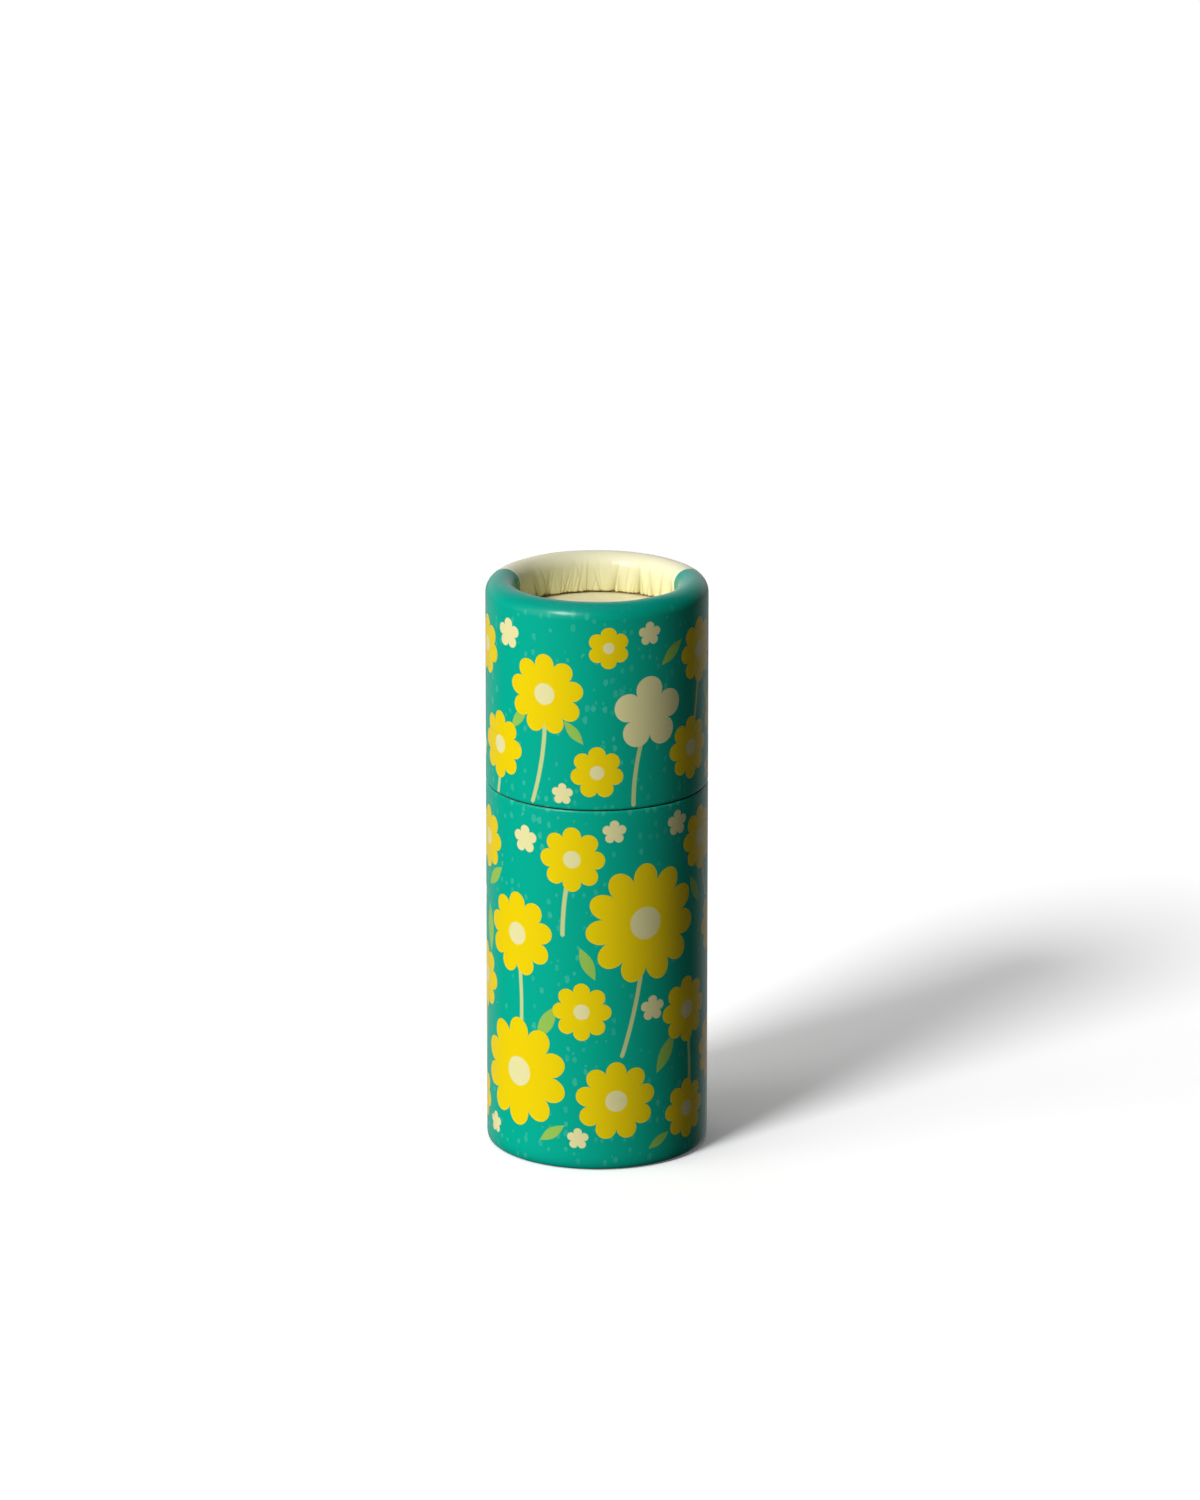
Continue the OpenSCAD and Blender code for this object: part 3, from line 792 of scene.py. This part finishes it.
def printed_paper(name, blossoms, pale, leaves, stems, low, high, cut_z):
    """Laminated printing paper: teal ground with dabs, leaves, stems and blossoms, bare cream beyond the print.

    The print's heights are shares of the way from low to high. Over the roll the teal is painted deeper, a
    painted shade, and the dabs fade.
    The bare paper is painted darker from the top of the roll to the leg's end, painted shade inside the rim,
    and darker still in its folds, painted shade in the folds.
    """
    material, tree, shader = new_material(name, 0.27, 0.32)
    place = node(tree, "ShaderNodeUVMap", uv_map="sheet").outputs[0]

    def spot(angle, share):
        return TUBE_R * math.radians(angle), low + share * (high - low), 0.0

    def blossom(angle, share, size, petals, depth, heart):
        return use(
            tree, BLOSSOM, Place=place, Centre=spot(angle, share), Radius=size * TUBE_R, Petals=float(petals),
            Depth=depth, Heart=heart,
        )

    inks = [blossom(*row, BLOSSOM_DEPTH, HEART_SHARE) for row in blossoms]
    yellow = joined(tree, [ink["Inside"] for ink in inks])
    hearts = joined(tree, [ink["Heart"] for ink in inks])
    flowers = joined(tree, [blossom(*row, PALE_DEPTH, 0.0)["Inside"] for row in pale])
    leaf_inks = [
        use(tree, LEAF, Place=place, Centre=spot(a, s), Length=length * TUBE_R, Turn=math.radians(turn))
        for a, s, length, turn in leaves
    ]
    green = joined(tree, [ink["Inside"] for ink in leaf_inks])
    stem_inks = [
        use(tree, STEM, Place=place, Foot=spot(a, s), Head=spot(b, t), Sag=sag * TUBE_R)
        for a, s, b, t, sag in stems
    ]
    stalks = joined(tree, [ink["Inside"] for ink in stem_inks])
    fold_seen, fold_darkest = 0.02, 0.24
    fold_shade_share, fibre_tint, dabs_lost = 0.9, 0.2, 0.85
    before_roll, before_top = 0.3, 1.0
    roll_top = high - low + 0.5 * math.pi * CURL
    leg_end = roll_top + 0.5 * math.pi * CURL + LEG_RUN
    split = parts_of(tree, place)
    within = soft_step(tree, maths(tree, "SUBTRACT", PRINT_HALF, maths(tree, "ABSOLUTE", split[0])))
    run = maths(tree, "ABSOLUTE", maths(tree, "SUBTRACT", split[1], cut_z))
    leg = rise(tree, run, roll_top, leg_end)
    turned = rise(tree, run, high - low - before_roll, roll_top - before_top, "SMOOTHSTEP")
    fold = node(tree, "ShaderNodeAttribute", attribute_name="fold").outputs["Fac"]
    shade = rise(tree, fold, fold_seen, fold_darkest)
    object_place = node(tree, "ShaderNodeTexCoord").outputs["Object"]
    fibres = use(tree, FIBRES, Place=object_place, Stretch=(1.0, 1.0, 1.0), Scale=2600.0)
    dabs = use(tree, DABS, Place=place, Thick=0.7)["Dabs"]
    dabs = maths(tree, "MULTIPLY", dabs, maths(tree, "MULTIPLY_ADD", turned, -dabs_lost, 1.0))
    # Over the roll the teal is painted deeper: painted shade
    colour = paint(tree, dabs, paint(tree, turned, TEAL, TEAL_PAINTED_SHADE), DAB)
    colour = paint(tree, green, colour, LIME)
    colour = paint(tree, stalks, colour, STALK)
    colour = paint(tree, yellow, colour, YELLOW)
    colour = paint(tree, maths(tree, "MAXIMUM", hearts, flowers), colour, CREAM)
    # Painted shade: the bare paper darkens from the top of the roll down to the leg's end inside the rim
    bare = paint(tree, leg, BARE_HIGH, BARE_PAINTED_SHADE_AND_FIBRE)
    # Painted shade: the paper darkens in the folds by their depth
    bare = paint(tree, maths(tree, "MULTIPLY", shade, fold_shade_share), bare, BARE_FOLD_PAINTED_SHADE)
    bare = paint(tree, maths(tree, "MULTIPLY", fibres["Tone"], fibre_tint), bare, BARE_PAINTED_SHADE_AND_FIBRE)
    plug(tree, shader.inputs["Base Color"], paint(tree, within, bare, colour))
    bump(tree, shader, fibres["Fibres"], 0.00002, 0.35)
    return material


def fibrous(name, dark, light, roughness, specular, stretch, scale, depth, shaded_cuts=()):
    """Plain paper, board or greaseproof: two tones mixed by the felted fibres, which also roughen the surface.

    Near the given cut heights the sheet is painted darker: painted shade in the seam's gap.
    """
    material, tree, shader = new_material(name, roughness, specular)
    object_place = node(tree, "ShaderNodeTexCoord").outputs["Object"]
    fibres = use(tree, FIBRES, Place=object_place, Stretch=stretch, Scale=scale)
    colour = paint(tree, rise(tree, fibres["Tone"], 0.3, 0.7), dark, light)
    height = parts_of(tree, object_place)[2]
    for cut in shaded_cuts:
        off = maths(tree, "ABSOLUTE", maths(tree, "SUBTRACT", height, cut * MM))
        # Painted shade at the cut ends, where the seam's gap lies
        colour = paint(tree, rise(tree, off, 0.25 * MM, 0.1 * MM), colour, BOARD_CUT_PAINTED_SHADE)
    plug(tree, shader.inputs["Base Color"], colour)
    bump(tree, shader, fibres["Fibres"], depth)
    return material


def wax():
    """Poured wax balm: soft sheen, faint clouding."""
    material, tree, shader = new_material("poured balm", 0.42, 0.4)
    shader.inputs["Subsurface Weight"].default_value = 0.15
    shader.inputs["Subsurface Radius"].default_value = (0.002, 0.0012, 0.0006)
    object_place = node(tree, "ShaderNodeTexCoord").outputs["Object"]
    cloud = node(tree, "ShaderNodeTexNoise", {"Vector": object_place, "Scale": 180.0, "Detail": 4.0})
    plug(tree, shader.inputs["Base Color"], paint(tree, cloud.outputs[0], WAX_DEEP, WAX))
    bump(tree, shader, cloud.outputs[0], 0.00005)
    return material


# The tube


def build_tube():
    """Every piece of the cap, the base and the push-up, with its finish, body and the solids it stands for."""
    cap_paper = printed_paper(
        "cap print", CAP_BLOSSOMS, CAP_PALE, CAP_LEAVES, CAP_STEMS, CAP_EDGE, TOP - CURL, CAP_EDGE
    )
    base_paper = printed_paper(
        "base print", BASE_BLOSSOMS, BASE_PALE, BASE_LEAVES, BASE_STEMS, CURL - FOOT_PRESS, BASE_EDGE, BASE_EDGE
    )
    even, upright = (1.0, 1.0, 1.0), (1.0, 1.0, 3.0)
    board = fibrous(
        "rolled board", KRAFT_DARK, KRAFT, 0.85, 0.2, upright, 900.0, 0.00006, shaded_cuts=(CAP_EDGE, BASE_EDGE)
    )
    neck_board = fibrous("neck board", KRAFT_DARK, KRAFT, 0.85, 0.2, upright, 900.0, 0.00006)
    greaseproof = fibrous("greaseproof", GREASEPROOF_DARK, GREASEPROOF, 0.45, 0.35, even, 1400.0, 0.00002)
    disc_paper = fibrous("disc paper", DISC_DARK, DISC_CREAM, 0.8, 0.2, (1.0, 1.6, 1.0), 1300.0, 0.00004)
    foot_cut = -BASE_EDGE - FOOT_PRESS

    finish_piece(
        wrap_piece("cap_paper", CAP_EDGE, TOP, seed=5), cap_paper, "cap", "wrap_paper",
        "cap_wrap", "cap_print_ground", "cap_print_blossoms", "cap_print_pale", "cap_print_leaves",
    )
    finish_piece(
        wrap_piece("base_paper", foot_cut, 0.0, seed=11, upside_down=True), base_paper, "base", "wrap_paper",
        "base_wrap", "base_print_ground", "base_print_blossoms", "base_print_pale", "base_print_leaves",
    )
    finish_piece(board_piece("cap_board", CAP_EDGE, TOP), board, "cap", "rolled_board", "cap_tube")
    finish_piece(
        board_piece("base_board", foot_cut, 0.0, upside_down=True), board, "base", "rolled_board", "base_tube"
    )
    finish_piece(neck_piece(), neck_board, "base", "rolled_board", "neck_tube")
    finish_piece(liner_piece(), greaseproof, "base", "greaseproof", "neck_liner")
    finish_piece(
        cup_piece("cap_top_disc", BORE_R, DISC_LOW, DISC_TOP, seed=21, pleats=40),
        disc_paper, "cap", "disc_paper", "cap_disc",
    )
    finish_piece(
        cup_piece("push_cup", PUSH_R, PUSH_LOW, PUSH_TOP, seed=23, pleats=36),
        disc_paper, "push_up", "disc_paper", "push_disc",
    )
    finish_piece(facing_piece(), greaseproof, "push_up", "greaseproof", "facing_disc")
    finish_piece(balm_piece(), wax(), "push_up", "wax_balm", "balm")


# Room, light and camera

# Floor: half its side and its drop below the foot in metres, its tone for the camera and for scattered light,
# the white it is lifted by for the camera, and the light of its far side in reflections
FLOOR_HALF = 3.0
FLOOR_DROP = 0.00002
FLOOR_SEEN = 1.44
FLOOR_BOUNCE = 0.22
FLOOR_LIFT = 0.1
FLOOR_MIRRORED = 0.36
# Room: the backdrop's light in reflections, and the faint light from all round
ROOM_MIRRORED = 0.75
ROOM_FILL = 0.012
# Lamps: strength, angular size, angle to the left of the front and height in degrees, mirrored or not
LAMPS = {
    "key": (2.08, 17, 39.8, 35, True),
    "side": (1.75, 46, 67, 9, False),
    "top": (0.54, 50, 140, 78, False),
}
# Camera: lens in millimetres, place in metres, and how far it looks down in degrees
LENS = 221.7
CAMERA_PLACE = (0.00034, -0.9945, 0.3456)
LOOKS_DOWN = 16.78


def build_floor():
    """A pale floor that takes the shadow.

    It is white where it is lit for the camera, dimmer as a reflector, and in glossy reflections dark in front
    and grey behind.
    """
    mesh = bpy.data.meshes.new("floor")
    sides = [(-1, -1), (1, -1), (1, 1), (-1, 1)]
    mesh.from_pydata([(x * FLOOR_HALF, y * FLOOR_HALF, -FLOOR_DROP) for x, y in sides], [], [(0, 1, 2, 3)])
    floor = bpy.data.objects.new("floor", mesh)
    bpy.context.scene.collection.objects.link(floor)
    material = bpy.data.materials.new("pale floor")
    material.use_nodes = True
    tree = material.node_tree
    tree.nodes.clear()
    path = node(tree, "ShaderNodeLightPath").outputs
    black = (0.0, 0.0, 0.0, 1.0)
    tone = paint(tree, path["Is Diffuse Ray"], black, (*[FLOOR_BOUNCE] * 3, 1.0))
    tone = paint(tree, path["Is Camera Ray"], tone, (*[FLOOR_SEEN] * 3, 1.0))
    plain = node(tree, "ShaderNodeBsdfDiffuse", {"Color": tone}).outputs[0]
    coming = node(tree, "ShaderNodeNewGeometry").outputs["Incoming"]
    going = vectors(tree, "MULTIPLY", coming, (-1.0, -1.0, -1.0))
    behind = use(tree, BACKDROP, Way=going, Start=0.4, Full=0.9)["Light"]
    mirrored = maths(tree, "MULTIPLY", behind, path["Is Glossy Ray"])
    lifted = maths(tree, "MULTIPLY", path["Is Camera Ray"], FLOOR_LIFT)
    glow = maths(tree, "MULTIPLY_ADD", mirrored, FLOOR_MIRRORED, lifted)
    lift = node(tree, "ShaderNodeEmission", {"Strength": glow}).outputs[0]
    both = node(tree, "ShaderNodeAddShader", {0: plain, 1: lift}).outputs[0]
    node(tree, "ShaderNodeOutputMaterial", {"Surface": both})
    mesh.materials.append(material)


def place_sun(name, strength, spread, side, height, mirrored):
    """A far lamp, by its row in LAMPS."""
    lamp = bpy.data.lights.new(name, "SUN")
    lamp.energy = strength
    lamp.angle = math.radians(spread)
    side, height = math.radians(side), math.radians(height)
    towards = Vector((-math.sin(side) * math.cos(height), -math.cos(side) * math.cos(height), math.sin(height)))
    stand = bpy.data.objects.new(name, lamp)
    stand.rotation_euler = (-towards).to_track_quat("-Z", "Y").to_euler()
    stand.visible_glossy = mirrored
    bpy.context.scene.collection.objects.link(stand)


def build_light():
    """A soft key from the left front, a wide side light, a soft top light, and a backdrop in reflections."""
    for name, row in LAMPS.items():
        place_sun(name, *row)
    world = bpy.data.worlds.new("room")
    world.use_nodes = True
    bpy.context.scene.world = world
    tree = world.node_tree
    tree.nodes.clear()
    path = node(tree, "ShaderNodeLightPath").outputs
    direction = node(tree, "ShaderNodeTexCoord").outputs["Generated"]
    behind = use(tree, BACKDROP, Way=direction, Start=0.4, Full=1.0)["Light"]
    mirrored = maths(tree, "MULTIPLY", maths(tree, "MULTIPLY", behind, path["Is Glossy Ray"]), ROOM_MIRRORED)
    seen = maths(tree, "MAXIMUM", path["Is Camera Ray"], path["Is Transmission Ray"])
    strength = maths(tree, "MAXIMUM", maths(tree, "MAXIMUM", seen, mirrored), ROOM_FILL)
    shine = node(tree, "ShaderNodeBackground", {"Color": (1, 1, 1, 1), "Strength": strength})
    node(tree, "ShaderNodeOutputWorld", {"Surface": shine.outputs[0]})


def build_camera():
    """A long lens about a metre off, looking down on the tube as the photograph does."""
    camera = bpy.data.cameras.new("camera")
    camera.sensor_width = 36.0
    camera.lens = LENS
    camera.clip_start = 0.05
    camera.clip_end = 20.0
    stand = bpy.data.objects.new("camera", camera)
    stand.location = CAMERA_PLACE
    stand.rotation_euler = (math.radians(90 - LOOKS_DOWN), 0.0, 0.0)
    bpy.context.scene.collection.objects.link(stand)
    bpy.context.scene.camera = stand


build_tube()
build_floor()
build_light()
build_camera()
bpy.context.scene.view_settings.view_transform = "Standard"
